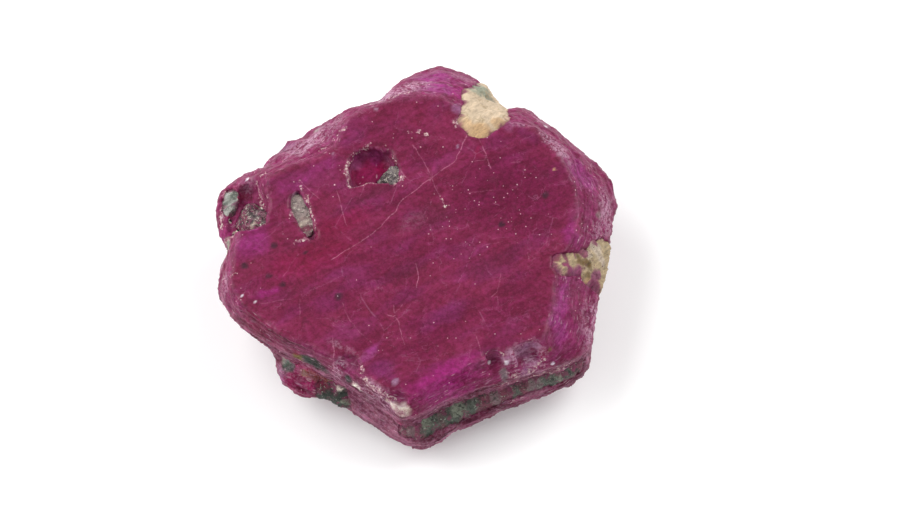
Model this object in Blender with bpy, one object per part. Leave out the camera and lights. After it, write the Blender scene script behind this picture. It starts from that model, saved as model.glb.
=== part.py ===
"""A raw ruby crystal: a thick six-sided plate with a flat face, worn bevels and layered sides, and the
grains of host rock that still fill its pockets and its seam.

Sizes are in millimetres, and MM turns them into metres. +Z is up, +X is to the right and the viewer
stands on the -Y side. The origin is in the middle of the flat base that the crystal rests on.
"""

import math

import bmesh
import bpy
from mathutils import Vector, noise

MM = 0.001

# Heights above the base
FACE_HEIGHT = 9.4  # the flat face, over the origin
FACE_TILT = math.tan(math.radians(4.0))  # the face rises towards the back
GIRDLE_HEIGHTS = [6.2, 7.0, 6.3, 6.6]  # widest line of the upper plate: right, back, left, front
BELT_HEIGHT = 4.7  # lower edge of the upper plate, where the seam starts
LOWER_TOP_HEIGHT = 3.5  # upper edge of the lower plate, where the seam ends
LOWER_EDGE_HEIGHT = 2.5  # where the lower plate turns under

SECTORS = 160  # steps around the crystal
WORN_EDGE = 0.10  # how far chipping moves an edge
BROKEN_SIDE = 0.30  # how far it moves a broken surface
BEVEL_WAVES = 0.21  # how far it lifts or lowers the bevel
FACE_EDGE_CHIP = 1.1  # distance over which the chipping of the face's edge changes
BEVEL_CHIP = 1.5  # the same on the bevel, outwards
BEVEL_LUMP = 2.2  # and upwards
SIDE_CHIP = 1.6  # the same on the layered side, outwards
SIDE_LUMP = 2.0  # and upwards
LAYER_CONTRAST = 3.0  # how many times faster it changes down the side than around it
APART = 9.0  # distance that keeps the chipping outwards and upwards from being alike

POCKET_CHIPS = (0.5, 0.12)  # length of the sides of a pocket's broken edge, and how far they jog
POCKET_FLOOR = 0.22  # roughness of a pocket's floor, as a share of its depth
POCKET_LUMP = 0.6  # distance over which that roughness changes
POCKET_LIP = 0.3  # where a pocket's wall steepens, as a share of its depth and its slope
POCKET_MIDDLE = 0.55  # size of the inner ring of its floor, as a share of the outer one
GRAIN_CHIPS = (0.55, 0.06)  # the same as POCKET_CHIPS for the edge of a grain's socket
GRAIN_PROUD = 0.14  # how far a grain stands out of a worn side
GRAIN_LUMP = 0.7  # distance over which the lumps of its top change
GAP = 0.25  # clearance between a grain and its socket
JOG_LENGTH = 0.35  # distance over which the jogs of a broken edge change
SHARPEST_CORNER = 0.6  # least cosine of half a corner's turn that an outline is moved by
CUT_ABOVE = 3.0  # how far a cutting shape reaches above the surface

# Outlines seen from above, anticlockwise from the right
FACE_EDGE = [
    (12.5, -0.3), (13.1, 2.4), (12.7, 4.7), (11.4, 7.6), (9.6, 9.5), (7.2, 10.1), (4.8, 10.6), (3.6, 11.4),
    (2.0, 12.4), (-1.2, 12.2), (-3.5, 11.5), (-5.6, 10.3), (-6.4, 7.9), (-8.4, 6.7), (-10.4, 5.9),
    (-11.7, 5.2), (-11.8, 1.8), (-13.9, 0.7), (-14.2, -1.0), (-14.5, -3.3), (-14.5, -4.7), (-13.8, -5.8),
    (-12.3, -7.3), (-10.1, -9.0), (-7.5, -10.0), (-4.8, -11.7), (-2.6, -13.4), (-0.9, -14.5), (1.0, -13.3),
    (4.4, -11.2), (6.7, -10.2), (10.1, -9.2), (10.7, -7.4), (11.1, -4.4), (11.5, -2.4),
]
GIRDLE = [
    (15.3, -0.6), (15.9, 3.0), (16.3, 4.8), (15.7, 7.1), (14.5, 8.7), (12.4, 10.6), (11.2, 11.6),
    (9.5, 13.3), (8.4, 13.5), (7.1, 13.3), (6.1, 14.8), (5.6, 15.8), (4.5, 16.6), (2.1, 17.5), (0.3, 16.9),
    (-1.2, 16.2), (-2.1, 15.3), (-2.9, 13.9), (-5.8, 13.1), (-7.1, 12.1), (-8.6, 11.3), (-9.6, 10.5),
    (-10.4, 10.7), (-10.8, 9.6), (-11.9, 9.0), (-12.5, 7.8), (-14.0, 7.3), (-15.0, 6.6), (-15.8, 5.7),
    (-16.1, 4.2), (-15.7, 2.0), (-15.2, 1.0), (-15.0, 0.0), (-15.5, -1.2), (-15.6, -2.9), (-15.6, -3.9),
    (-14.8, -5.1), (-13.7, -6.4), (-11.6, -8.0), (-10.7, -8.6), (-9.1, -9.5), (-6.7, -10.8), (-4.3, -12.3),
    (-2.3, -13.7), (-1.1, -14.9), (0.1, -14.8), (2.0, -13.6), (5.2, -12.2), (8.3, -11.1), (11.5, -10.0),
    (13.4, -9.0), (14.0, -7.9), (14.5, -4.6),
]
LOWER_PLATE = [
    (14.6, -1.4), (14.9, 1.5), (14.5, 4.6), (12.6, 8.0), (9.8, 11.0), (6.2, 13.2), (3.2, 15.2), (0.2, 14.6),
    (-3.4, 12.6), (-7.4, 10.4), (-10.8, 7.7), (-13.2, 5.4), (-14.2, 2.4), (-13.7, -1.6), (-13.3, -4.4),
    (-11.9, -6.2), (-11.2, -7.4), (-11.1, -8.2), (-10.5, -9.7), (-9.3, -10.8), (-8.0, -11.0),
    (-6.8, -11.2), (-5.3, -12.1), (-3.2, -13.5), (-1.8, -14.6), (-0.6, -15.3), (0.5, -15.6), (1.6, -15.2),
    (3.4, -13.9), (5.2, -13.0), (9.1, -11.3), (12.6, -9.8), (13.6, -8.9), (14.0, -7.9), (14.3, -4.6),
]
BASE = [
    (10.2, -1.0), (9.8, 4.2), (6.4, 8.4), (1.2, 10.4), (-4.6, 8.6), (-8.9, 4.4), (-9.7, -1.2), (-8.6, -5.4),
    (-5.2, -8.2), (-0.6, -10.4), (4.4, -8.6), (9.0, -6.0),
]

# The bevel from the face's edge to the girdle: share of the way out, and share of the way down
BEVEL_STEPS = [(0.0, 0.0), (0.30, 0.20), (0.68, 0.55), (1.0, 1.0)]
# The side between girdle and belt, in layers: share of the way down, and how far in the layer stands
SIDE_LAYERS = [
    (0.16, 0.02), (0.28, 0.40), (0.44, 0.12), (0.56, 0.50), (0.74, 0.16), (0.86, 0.48), (1.0, 0.22),
]
# The underside between lower plate and base: share of the way in, and height
UNDER_LEDGES = [(0.16, 1.9), (0.40, 1.7), (0.48, 1.1), (0.78, 0.75), (0.84, 0.30)]
SEAM_INSET = 0.55  # how far the seam is worn back between the plates
SEAM_EXPOSED_AT = math.radians(-50)  # towards here it isn't worn back
SEAM_EDGE = 0.15  # height of the rounded corner above and below the seam

# Pockets broken out of the face and the bevels: outline, depth, wall slope, lean of the floor along X and Y
POCKETS = {
    "corner_pocket": (
        [(-14.3, 5.3), (-14.2, 4.2), (-14.6, 3.3), (-15.1, 2.8), (-15.1, 1.6), (-14.7, 0.9), (-13.9, 0.4),
         (-12.6, 0.6), (-11.7, 1.1), (-11.6, 2.7), (-12.0, 4.1), (-12.4, 5.3), (-13.4, 5.9)],
        1.3, 0.18, (0.45, 0.05),
    ),
    "centre_pocket": (
        [(-5.4, 6.7), (-5.3, 5.3), (-5.2, 4.2), (-3.4, 4.7), (-1.7, 4.5), (-1.0, 4.9), (-1.5, 6.4),
         (-2.0, 7.5), (-3.4, 7.8), (-4.8, 7.5)],
        1.3, 0.16, (-0.10, 0.16),
    ),
    "round_pocket": (
        [(-8.7, -0.1), (-8.3, -0.6), (-7.8, -0.4), (-7.7, 0.2), (-8.2, 0.5), (-8.7, 0.3)],
        0.6, 0.15, (0.0, 0.0),
    ),
    "front_pocket_left": (
        [(5.3, -10.4), (5.9, -11.5), (6.9, -11.5), (7.3, -10.4), (6.4, -9.9)],
        0.7, 0.25, (0.0, 0.3),
    ),
    "front_pocket_right": (
        [(7.7, -9.9), (8.1, -10.9), (9.4, -10.9), (10.1, -10.1), (9.7, -9.2), (8.7, -9.2)],
        0.9, 0.22, (0.0, 0.3),
    ),
    "tip_pocket": (
        [(-2.4, -13.8), (-1.7, -14.6), (-0.3, -14.9), (-0.4, -13.9), (-1.2, -13.3)],
        0.8, 0.20, (0.0, 0.6),
    ),
    "edge_pocket": (
        [(-6.2, -11.2), (-5.2, -11.9), (-4.0, -11.6), (-4.4, -10.6), (-5.5, -10.3)],
        0.55, 0.25, (0.0, 0.4),
    ),
}


def between(low, high, share):
    """The value that share of the way from low to high."""
    return low + (high - low) * share


def wander(x, y, z, size):
    """A number from -1 to 1 that drifts over the distance size, and is the same each run."""
    return noise.noise(Vector((x, y, z)) / size)


def reach(outline, angle):
    """How far from the middle a ray at that angle crosses the outline."""
    ux, uy = math.cos(angle), math.sin(angle)
    for (ax, ay), (bx, by) in zip(outline, outline[1:] + outline[:1]):
        ex, ey = bx - ax, by - ay
        across = ux * ey - uy * ex
        if abs(across) < 1e-9:
            continue
        ray = (ax * ey - ay * ex) / across
        side = (ax * uy - ay * ux) / across
        if ray > 0 and -1e-9 <= side <= 1 + 1e-9:
            return ray
    raise ValueError("the outline doesn't go round the middle")


def face_height(y):
    """Height of the flat face, that far behind the origin."""
    return FACE_HEIGHT + FACE_TILT * y


def girdle_height(angle):
    """Height of the girdle in that direction, eased between the four heights given."""
    quarter = (angle / (math.pi / 2)) % 4
    start = int(quarter) % 4
    share = quarter - int(quarter)
    eased = share * share * (3 - 2 * share)
    return between(GIRDLE_HEIGHTS[start], GIRDLE_HEIGHTS[(start + 1) % 4], eased)


def seam_inset(angle):
    """How far the seam is worn back: fully at the back, and not at all where it is exposed."""
    near = max(0.0, math.cos(angle - SEAM_EXPOSED_AT))
    return SEAM_INSET * (1 - min(1.0, 1.6 * near**2))


def bevel_profile(angle):
    """(radius, height) of the bevel in that direction, from the face's edge to the girdle."""
    inner, outer = reach(FACE_EDGE, angle), reach(GIRDLE, angle)
    top, low = face_height(inner * math.sin(angle)), girdle_height(angle)
    return [(between(inner, outer, out), between(top, low, down)) for out, down in BEVEL_STEPS]


def side_profile(angle):
    """(radius, height, chipping) down the side in that direction, from the girdle to the base."""
    girdle, lower, base = reach(GIRDLE, angle), reach(LOWER_PLATE, angle), reach(BASE, angle)
    top = girdle_height(angle)
    rings = [
        (girdle - inward, between(top, BELT_HEIGHT, down), WORN_EDGE) for down, inward in SIDE_LAYERS
    ]
    belt, inset = rings[-1][0], seam_inset(angle)
    rings += [
        (between(belt, lower, 0.15) - inset, BELT_HEIGHT - SEAM_EDGE, WORN_EDGE),
        (between(belt, lower, 0.85) - inset, LOWER_TOP_HEIGHT + SEAM_EDGE, WORN_EDGE),
        (lower - 0.05, LOWER_TOP_HEIGHT, WORN_EDGE),
        (lower, LOWER_EDGE_HEIGHT, WORN_EDGE),
    ]
    rings += [(between(lower, base, inward), height, BROKEN_SIDE) for inward, height in UNDER_LEDGES]
    return rings + [(base, 0.0, 0.0)]


def surface_height(x, y):
    """Height of the crystal's unbroken upper surface over that point: the flat face, then the bevel."""
    angle, distance = math.atan2(y, x), math.hypot(x, y)
    profile = bevel_profile(angle)
    if distance <= profile[0][0]:
        return face_height(y)
    for (r0, z0), (r1, z1) in zip(profile, profile[1:]):
        if distance <= r1:
            return between(z0, z1, (distance - r0) / (r1 - r0))
    return profile[-1][1]


def cross_section(angle, swell):
    """The points (radius, height) of an upright cut through the crystal, chipped and swollen."""
    ux, uy = math.cos(angle), math.sin(angle)
    bevel = bevel_profile(angle)
    radius = bevel[0][0]
    radius += WORN_EDGE * wander(radius * ux, radius * uy, 0.0, FACE_EDGE_CHIP)
    points = [(radius, face_height(radius * uy) + swell)]
    for radius, height in bevel[1:]:
        push = WORN_EDGE * wander(radius * ux, radius * uy, height, BEVEL_CHIP)
        lift = BEVEL_WAVES * wander(radius * ux, radius * uy, height + APART, BEVEL_LUMP)
        points.append((radius + push + swell, height + lift + swell))
    for radius, height, rough in side_profile(angle):
        level = LAYER_CONTRAST * height
        push = rough * wander(radius * ux, radius * uy, level, SIDE_CHIP)
        lift = 0.5 * rough * wander(radius * ux, radius * uy, level + APART, SIDE_LUMP)
        points.append((radius + push + (swell if height else 0.0), height + lift))
    return points


def new_object(name, bm, material=None):
    bmesh.ops.recalc_face_normals(bm, faces=bm.faces)
    mesh = bpy.data.meshes.new(name)
    bm.to_mesh(mesh)
    bm.free()
    obj = bpy.data.objects.new(name, mesh)
    if material:
        mesh.materials.append(material)
    bpy.context.scene.collection.objects.link(obj)
    return obj


def cutter(name, bm):
    """A shape that only cuts or trims others, so it isn't rendered."""
    obj = new_object(name, bm)
    obj.hide_render = True
    obj.display_type = "WIRE"
    return obj


def combine(obj, other, operation):
    modifier = obj.modifiers.new(other.name, "BOOLEAN")
    modifier.object = other
    modifier.operation = operation
    modifier.solver = "EXACT"
    modifier.use_self = operation == "INTERSECT"  # a lumpy top may fold on itself a little


def join_rings(bm, rings):
    """Joins closed rings of vertices, one to the next, and caps both ends."""
    for upper, lower in zip(rings, rings[1:]):
        count = len(upper)
        for i in range(count):
            j = (i + 1) % count
            bm.faces.new((upper[i], lower[i], lower[j], upper[j]))
    bm.faces.new(rings[0])
    bm.faces.new(reversed(rings[-1]))
    return bm


def crystal_rings(swell=0.0):
    """The crystal before its pockets are broken out, as rings around the middle, top to bottom."""
    bm = bmesh.new()
    sections = []
    for step in range(SECTORS):
        angle = 2 * math.pi * step / SECTORS
        ux, uy = math.cos(angle), math.sin(angle)
        points = [Vector((r * ux, r * uy, z)) for r, z in cross_section(angle, swell)]
        sections.append([bm.verts.new(point * MM) for point in points])
    return join_rings(bm, [list(ring) for ring in zip(*sections)])


def ring_over(bm, outline, height):
    """A ring of vertices over the outline, at height(x, y)."""
    return [bm.verts.new(Vector((x, y, height(x, y))) * MM) for x, y in outline]


def middle(outline):
    return (sum(x for x, _ in outline) / len(outline), sum(y for _, y in outline) / len(outline))


def scaled(outline, factor):
    """The outline drawn in towards its middle, or out from it."""
    cx, cy = middle(outline)
    return [(between(cx, x, factor), between(cy, y, factor)) for x, y in outline]


def grown(outline, distance):
    """The outline moved outwards by that distance, or inwards where it is negative."""
    points = []
    for before, here, after in zip(outline[-1:] + outline[:-1], outline, outline[1:] + outline[:1]):
        arriving = (Vector(here) - Vector(before)).normalized()
        leaving = (Vector(after) - Vector(here)).normalized()
        outward = Vector((arriving.y + leaving.y, -arriving.x - leaving.x)).normalized()
        half_turn = outward.dot(Vector((arriving.y, -arriving.x)))
        moved = Vector(here) + outward * distance / max(SHARPEST_CORNER, half_turn)
        points.append((moved.x, moved.y))
    return points


def broken(outline, chips):
    """The outline in short sides, each end pushed in or out a little, as a fracture runs."""
    step, jog = chips
    points = []
    for (ax, ay), (bx, by) in zip(outline, outline[1:] + outline[:1]):
        length = math.hypot(bx - ax, by - ay)
        pieces = max(1, round(length / step))
        for i in range(pieces):
            x, y = between(ax, bx, i / pieces), between(ay, by, i / pieces)
            push = jog * wander(x, y, APART, JOG_LENGTH)
            points.append((x + push * (by - ay) / length, y - push * (bx - ax) / length))
    return points


def pocket(outline, depth, slope, lean):
    """A pocket's shape: a rough floor, sloping walls, and open above the crystal's surface."""
    edge = broken(outline, POCKET_CHIPS)
    cx, cy = middle(edge)
    centre_height = surface_height(cx, cy)

    def floor(x, y):
        rough = POCKET_FLOOR * depth * wander(x, y, depth, POCKET_LUMP)
        return centre_height - depth + lean[0] * (x - cx) + lean[1] * (y - cy) + rough

    def lip(x, y):
        return surface_height(x, y) + POCKET_LIP * depth

    bm = bmesh.new()
    return join_rings(bm, [
        ring_over(bm, scaled(edge, 1 + slope), lambda x, y: centre_height + CUT_ABOVE),
        ring_over(bm, scaled(edge, 1 + POCKET_LIP * slope), lip),
        ring_over(bm, scaled(edge, 1 - slope), floor),
        ring_over(bm, scaled(edge, POCKET_MIDDLE * (1 - slope)), floor),
    ])


def below_surface(depth, lumps=0.0):
    """Height function: that far under the crystal's unbroken surface, give or take the lumps."""
    return lambda x, y: surface_height(x, y) - depth + lumps * wander(x, y, depth, GRAIN_LUMP)


def at_height(height, lumps=0.0):
    """Height function: level, give or take the lumps."""
    return lambda x, y: height + lumps * wander(x, y, height, GRAIN_LUMP)


# Grains of host rock: outline of the socket, height of its floor, height of the grain's top, whether the
# crystal closes over the grain, and how far it stands out of the worn side that it is trimmed to
GRAINS = {
    "feldspar_grain_back": (
        [(3.8, 13.7), (3.8, 12.6), (3.9, 11.7), (3.7, 11.0), (3.4, 10.3), (3.7, 9.6), (4.4, 8.9), (5.1, 8.7),
         (5.8, 8.8), (6.6, 9.5), (7.6, 10.4), (7.4, 11.8), (7.4, 13.2), (7.8, 15.6), (5.9, 17.2), (5.3, 15.8),
         (4.7, 14.6)],
        at_height(5.9), below_surface(-0.20, 0.16), False, GRAIN_PROUD,
    ),
    "mica_grain_right": (
        [(10.9, -1.8), (11.0, -2.8), (11.5, -3.5), (12.3, -3.2), (13.1, -2.9), (13.5, -3.4), (14.9, -3.7),
         (16.8, -3.8), (17.0, 1.2), (15.0, 1.1), (14.3, 0.5), (13.5, -0.5), (12.7, -1.2), (11.9, -1.5)],
        at_height(5.2), below_surface(-0.12, 0.14), False, GRAIN_PROUD,
    ),
    "mica_sliver": (
        [(-9.9, 3.4), (-9.9, 2.1), (-9.3, 1.1), (-8.7, 0.2), (-8.1, 0.1), (-8.1, 1.3), (-8.6, 2.8),
         (-9.2, 4.1)],
        below_surface(1.2), below_surface(0.28, 0.14), False, None,
    ),
    "mica_crumb_centre": (
        [(-3.2, 5.2), (-2.2, 4.8), (-1.2, 4.9), (-1.3, 6.3), (-2.2, 6.5), (-2.7, 5.9)],
        below_surface(2.0), below_surface(0.42, 0.30), False, None,
    ),
    "mica_crust_corner_outer": (
        [(-15.2, 5.5), (-15.4, 4.8), (-15.4, 3.9), (-15.2, 3.2), (-14.8, 2.9), (-14.4, 3.4), (-14.2, 4.3),
         (-14.4, 5.2), (-14.8, 5.8)],
        at_height(6.1), below_surface(0.12, 0.20), False, None,
    ),
    "mica_crust_corner_inner": (
        [(-13.9, 3.3), (-14.3, 2.5), (-14.2, 2.0), (-13.6, 1.4), (-12.8, 1.0), (-11.9, 1.3), (-11.8, 2.6),
         (-12.2, 3.1), (-12.7, 3.8), (-13.7, 4.1)],
        at_height(6.2), below_surface(0.85, 0.35), False, None,
    ),
    "green_seam_front": (
        [(-1.2, -12.8), (-1.2, -16.5), (0.2, -17.1), (2.0, -16.5), (5.4, -14.7), (9.4, -12.9),
         (13.6, -10.9), (14.9, -9.0), (12.2, -8.1), (9.4, -9.3), (6.2, -10.3), (2.6, -11.6), (0.4, -12.5)],
        at_height(LOWER_TOP_HEIGHT), at_height(BELT_HEIGHT), True, 0.0,
    ),
    "green_crumb_left": (
        [(-7.7, -9.9), (-7.8, -11.6), (-6.7, -12.8), (-4.9, -13.4), (-4.9, -12.2), (-5.6, -10.5)],
        at_height(2.4, 0.15), at_height(4.5, 0.3), True, GRAIN_PROUD,
    ),
}


def socket(outline, floor, top, closed):
    """The hollow that holds a grain: closed above where the crystal goes over it, or else open."""
    edge = broken(outline, GRAIN_CHIPS)
    roof = top if closed else lambda x, y: max(surface_height(x, y), top(x, y)) + CUT_ABOVE
    bm = bmesh.new()
    return join_rings(bm, [ring_over(bm, edge, roof), ring_over(bm, edge, floor)])


def grain(outline, floor, top, closed):
    """The grain's own block, clear of its socket all round, with a lumpy top."""
    edge = grown(broken(outline, GRAIN_CHIPS), -GAP)
    lowered = GAP if closed else 0.0
    bm = bmesh.new()
    return join_rings(bm, [
        ring_over(bm, scaled(edge, 0.5), lambda x, y: top(x, y) - lowered),
        ring_over(bm, edge, lambda x, y: top(x, y) - lowered),
        ring_over(bm, edge, lambda x, y: floor(x, y) + GAP),
    ])


def mineral(name, colour, roughness):
    material = bpy.data.materials.new(name)
    material.use_nodes = True
    shader = material.node_tree.nodes["Principled BSDF"]
    shader.inputs["Base Color"].default_value = (*colour, 1.0)
    shader.inputs["Roughness"].default_value = roughness
    shader.inputs["Metallic"].default_value = 0.0
    return material


def rock_materials():
    """The material of each kind of grain, by the first word of the grain's name."""
    return {
        "feldspar": mineral("feldspar", (0.71, 0.56, 0.38), 0.8),
        "mica": mineral("mica", (0.38, 0.38, 0.31), 0.6),
        "green": mineral("green_zoisite", (0.08, 0.13, 0.10), 0.7),
    }


def crystal_with_pockets():
    crystal = new_object("ruby_crystal", crystal_rings(), mineral("corundum", (0.21, 0.02, 0.07), 0.3))
    for name, shape in POCKETS.items():
        combine(crystal, cutter(name, pocket(*shape)), "DIFFERENCE")
    return crystal


def add_grains(crystal):
    """Cuts a socket for each grain and sets the grain in it, trimmed where the crystal is worn."""
    rocks = rock_materials()
    stocks = {
        0.0: cutter("worn_surface", crystal_rings()),
        GRAIN_PROUD: cutter("proud_surface", crystal_rings(GRAIN_PROUD)),
    }
    for name, (outline, floor, top, closed, proud) in GRAINS.items():
        hollow = cutter(name + "_socket", socket(outline, floor, top, closed))
        combine(crystal, hollow, "DIFFERENCE")
        stone = new_object(name, grain(outline, floor, top, closed), rocks[name.split("_")[0]])
        if proud is not None:
            combine(stone, stocks[proud], "INTERSECT")


def build():
    for obj in list(bpy.data.objects):
        bpy.data.objects.remove(obj)
    add_grains(crystal_with_pockets())


build()
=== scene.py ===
import math

import bpy
import numpy as np
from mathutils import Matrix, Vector, noise
from mathutils.bvhtree import BVHTree


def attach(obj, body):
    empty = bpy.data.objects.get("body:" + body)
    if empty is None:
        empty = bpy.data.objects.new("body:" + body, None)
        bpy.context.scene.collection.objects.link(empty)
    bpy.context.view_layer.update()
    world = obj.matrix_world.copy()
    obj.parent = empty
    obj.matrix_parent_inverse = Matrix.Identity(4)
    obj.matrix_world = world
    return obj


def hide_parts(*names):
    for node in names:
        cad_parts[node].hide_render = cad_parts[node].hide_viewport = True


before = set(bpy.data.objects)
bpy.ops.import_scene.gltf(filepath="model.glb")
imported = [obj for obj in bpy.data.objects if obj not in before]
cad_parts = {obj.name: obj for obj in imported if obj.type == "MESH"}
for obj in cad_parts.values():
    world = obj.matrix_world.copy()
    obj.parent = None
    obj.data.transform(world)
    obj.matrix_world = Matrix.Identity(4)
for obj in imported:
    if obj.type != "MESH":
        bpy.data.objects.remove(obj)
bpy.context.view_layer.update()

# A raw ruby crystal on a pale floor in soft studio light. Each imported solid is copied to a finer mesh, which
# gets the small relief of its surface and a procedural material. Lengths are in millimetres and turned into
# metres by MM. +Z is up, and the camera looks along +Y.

MM = 0.001

FACE_HEIGHT = 9.4
FACE_TILT = math.tan(math.radians(4.0))
STREAK_TURN = 27.0  # degrees from +X towards +Y of the growth streaks on the flat face
STREAK_REACH = (4.0, 1.3, 4.0)
BELT = 5.9  # below this height the side is layered
FOOT_DARKENING = (0.5, 1.5)  # heights where the side's darkening towards its lower edge is full and gone
RIM_RADIUS = 14.0
RIM_GRAIN = (1.4, 0.4)  # reach of the broken layers along the rim and across it
FAR = 9.0  # farther than any distance that counts

# Where each part of the surface starts and is full: the depth below the flat face, the distance inside its
# edge, the height, and how far up the surface looks, from -1 to 1
FACE_DEPTH, FACE_BORDER, FACE_UPWARD = (0.25, 0.08), (-0.4, 0.4), (0.7, 0.95)
POCKET_DEPTH, POCKET_BORDER = (0.3, 0.7), (0.0, 0.3)
BEVEL_UPWARD = (-0.1, 0.3)
BASE_HEIGHT = (0.25, 0.05)
UPPER_HEIGHT = (BELT, BELT + 0.7)
TOP_HEIGHT = (BELT - 0.5, BELT + 0.3)
FROST_HEIGHT = (5.2, 6.2)
PALE_SIDE_HEIGHT = (BELT + 1.1, BELT)

# The relief of the ruby
BIG_CHIPS, SMALL_CHIPS = (0.15, 1.7), (0.08, 0.7)  # how far they stand out, and their width
GRIT = (0.09, 0.8)
FACE_WAVES = (0.012, 1.5)
LAYER_HEIGHT, LAYER_STEP = 0.62, 0.16
CRUST_RELIEF = 0.07
CRUMB_RELIEF, CRUMB_WIDTH = 0.16, 0.45

RUBY_VOXEL = 0.175
GRAIN_VOXEL = 0.09
SOCKET_GAP = 0.25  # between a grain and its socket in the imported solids
GRAIN_GAP = 0.45  # grain surface nearer than about this to the ruby is drawn onto it
GRAIN_OVERLAP = 0.1  # and so far into it

# The ruby's material. A pair is for broken ground and for the flat face.
CORUNDUM_IOR = 1.76
RUBY_ROUGHNESS = (0.45, 0.3)
RUBY_SPECULAR = (0.04, 0.13)
RUBY_BUMPS, RUBY_BUMP_HEIGHT = (1.0, 0.35), 0.08
GLOW_SHARE, GLOW_REACH, GLOW_DEPTH = 0.25, (1.0, 0.15, 0.35), 0.5  # light that goes in and comes out again
NET_CELL, NET_BEND = 3.4, 3.0  # the net of fainter cracks
CRACK_PINK, NET_PINK, DUST_PINK, FROST_LILAC = "#b87590", "#a8688a", "#d8b0b8", "#b48ca2"
# Crust, from its dark ground to its pale top: noise where each paler colour starts and is full
CRUST_DARK, CRUST_STEPS = "#7c3c56", [(0.42, 0.54, "#a8808a"), (0.54, 0.66, "#d6c8bc")]
CRUST_RAGGED = {"speckle": -0.5, "grain": -0.7}  # how much each pattern pulls the edge in or out
# Crumbs: size, and the brightness of its cell from which a crumb has each colour
CRUMB_SIZE, CRUMB_DARK = 0.34, "#2a2225"
CRUMB_STEPS = [(0.36, "#54383e"), (0.46, "#7a2a4a"), (0.56, "#8a8074"), (0.66, "#cfc6b8")]
# Fades: the distance or noise where each starts and ends, and the share at both ends
CRACK_WIDTH, CRACK_REACH, CRACK_WEAR = (0.01, 0.06, 1.0, 0.0), (0.12, 0.25, 1.0, 0.0), (0.38, 0.58, 0.1, 0.7)
NET_WIDTH, NET_PATCHES = (0.003, 0.014, 1.0, 0.0), (0.42, 0.6, 0.0, 0.3)
DUST_PATCHES, FLAKE_PATCHES = (0.42, 0.6, 0.4, 1.0), (0.38, 0.62, 0.15, 1.0)
FROST_PATCHES = (0.92, 1.14, 0.02, 1.0)
CRUST_EDGE, CRUMB_EDGE = (-0.64, -0.55, 0.9, 0.0), (0.8, 1.0, 0.0, 0.9)

ROCK_ROUGHNESS, ROCK_BUMP_HEIGHT = 0.7, 0.12
MOTTLE_TURN = (0.3, 0.5, 0.9)  # in radians, so that the mottle follows no axis
FLECK_SHARE = 0.9

FLOOR_HALF = 3.0  # in metres
FLOOR_WHITE, FLOOR_ROUGHNESS = "#f3f3f3", 0.9
FLOOR_GLOW = 0.12
# Light of the tent: the way each dark part lies, the cosines of the angles from it where that starts and is
# full, and the light at both. The first is a panel where the flat face would mirror the tent to the camera,
# and the second is the opening at the front.
TENT_LIGHT = [
    ((0.0, 0.375, 0.927), (math.cos(math.radians(55)), math.cos(math.radians(35))), (1.3, 0.06)),
    ((0.35, -0.94, 0.0), (0.1, 0.9), (1.0, 0.3)),
]
# Softboxes: place, width in mm and power in watts
SOFTBOXES = {"left_softbox": ((-310, 110, 320), 420, 2.0), "right_softbox": ((280, 160, 330), 320, 1.4)}
WHITE = "#ffffff"

CAMERA_TARGET, CAMERA_DISTANCE, CAMERA_ELEVATION = (2.8, 0.3, 6.0), 320, 60
CAMERA_SENSOR, CAMERA_LENS = 36.0, 160.0

# Sockets that share a name, by number: the colours of a Mix node, and the vectors of a Map Range node
SHARE, UNDER, OVER = 0, 6, 7
LOW, HIGH, DARK, LIGHT = 7, 8, 9, 10

# The edge of the flat face, seen from above, anticlockwise
FACE_EDGE = [
    (12.5, -0.3), (13.1, 2.4), (12.7, 4.7), (11.4, 7.6), (9.6, 9.5), (7.2, 10.1), (4.8, 10.6), (3.6, 11.4),
    (2.0, 12.4), (-1.2, 12.2), (-3.5, 11.5), (-5.6, 10.3), (-6.4, 7.9), (-8.4, 6.7), (-10.4, 5.9),
    (-11.7, 5.2), (-11.8, 1.8), (-13.9, 0.7), (-14.2, -1.0), (-14.5, -3.3), (-14.5, -4.7), (-13.8, -5.8),
    (-12.3, -7.3), (-10.1, -9.0), (-7.5, -10.0), (-4.8, -11.7), (-2.6, -13.4), (-0.9, -14.5), (1.0, -13.3),
    (4.4, -11.2), (6.7, -10.2), (10.1, -9.2), (10.7, -7.4), (11.1, -4.4), (11.5, -2.4),
]

# The colours of the minerals themselves, without gloss
COLOURS = {
    "crimson": "#70203e", "scarlet": "#741639", "wine": "#601334", "umber": "#5c1c34", "pit": "#8a0038",
    "plum": "#702448", "purple": "#6c234e", "magenta": "#7c2459", "hot": "#861f5e", "rose": "#75254c",
    "orchid": "#87346a", "lilac": "#835171", "mauve": "#824260", "ruby_red": "#7c0e40",
    "ash_rose": "#8c7b77", "bronze": "#604619", "chalk": "#cbbfb2", "petal": "#b488a4", "dusty": "#764858",
    "grey_lilac": "#8a6a7c", "shade": "#38202a", "cream": "#baa68d", "ivory": "#b5a595",
    "straw": "#a49070", "ochre": "#af8d64", "moss": "#6b5b2c", "sage": "#7f8472", "green": "#465046",
    "dark_green": "#2b322b", "brown": "#6e2c20", "russet": "#6a2c40", "pale": "#90908a", "ash": "#766c6c",
    "rust": "#77524c",
}

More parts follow.
